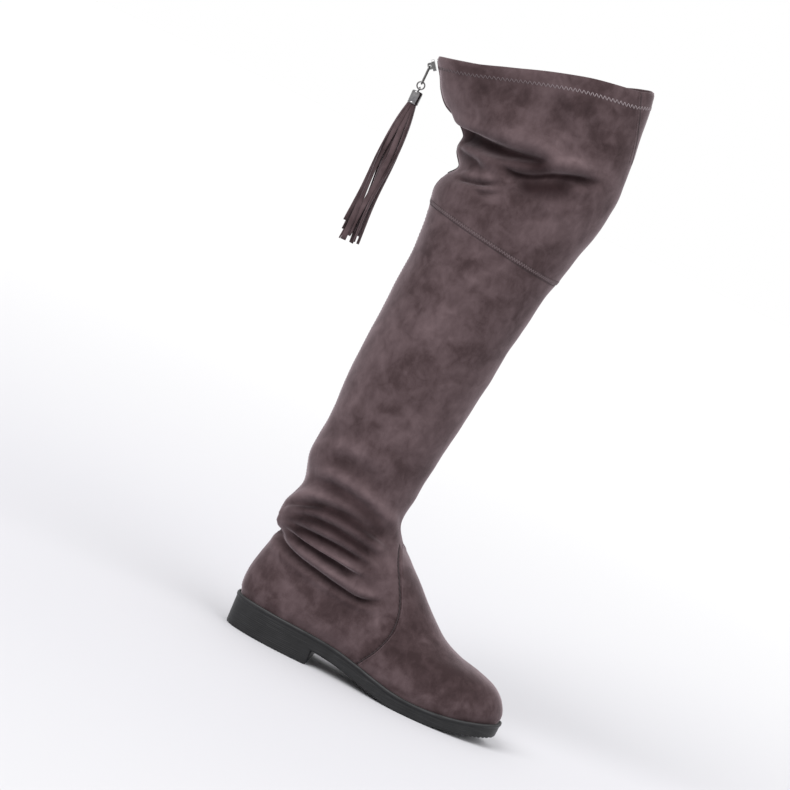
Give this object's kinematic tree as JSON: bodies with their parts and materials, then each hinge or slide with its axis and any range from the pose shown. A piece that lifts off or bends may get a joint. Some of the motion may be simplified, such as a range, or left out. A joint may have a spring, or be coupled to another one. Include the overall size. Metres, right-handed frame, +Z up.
{
  "type": "over-the-knee boot",
  "caption": "Right over-the-knee boot of soft suede-like fabric with a worn, folded shaft, low moulded heel, inner zip and a short back zip with a hanging tassel.",
  "frame": {"origin": "on the floor under the middle of the heel's tread", "axes": "+X points forward to the toe, +Y to the inner (medial) side, +Z up the leg"},
  "size_m": [0.3175, 0.1156, 0.5823],
  "materials": {
    "suede": "brushed suede-like nap",
    "tassel_suede": "cut suede-like strips",
    "sole_rubber": "matt moulded rubber with fine ribs",
    "footbed": "woven lining",
    "zip_coil": "dark nylon coil",
    "inner_zip_coil": "dark nylon coil",
    "slider_metal": "gunmetal",
    "inner_slider_metal": "gunmetal",
    "pull_metal": "gunmetal",
    "inner_pull_metal": "gunmetal",
    "ring_metal": "gunmetal",
    "cap_metal": "gunmetal"
  },
  "bodies": {
    "boot": {"upper": "suede", "outsole": "sole_rubber", "insole": "footbed", "back_zip": "zip_coil", "back_zip_slider": "slider_metal", "inner_zip": "inner_zip_coil", "inner_zip_slider": "inner_slider_metal"},
    "tassel_pull": {"back_zip_pull": "pull_metal", "pull_ring": "ring_metal", "tassel_cap": "cap_metal", "tassel": "tassel_suede"},
    "inner_pull": {"inner_zip_pull": "inner_pull_metal"}
  },
  "joints": [
    {"name": "tassel_swing", "type": "hinge", "parent": "boot", "child": "tassel_pull", "pos_m": [-0.08567, 0, 0.5199], "axis": [0, 1, 0], "range_deg": [-8, 80]},
    {"name": "inner_pull_swing", "type": "hinge", "parent": "boot", "child": "inner_pull", "pos_m": [0.02347, 0.05823, 0.28409], "axis": [1, 0, 0], "range_deg": [0, 150]}
  ]
}
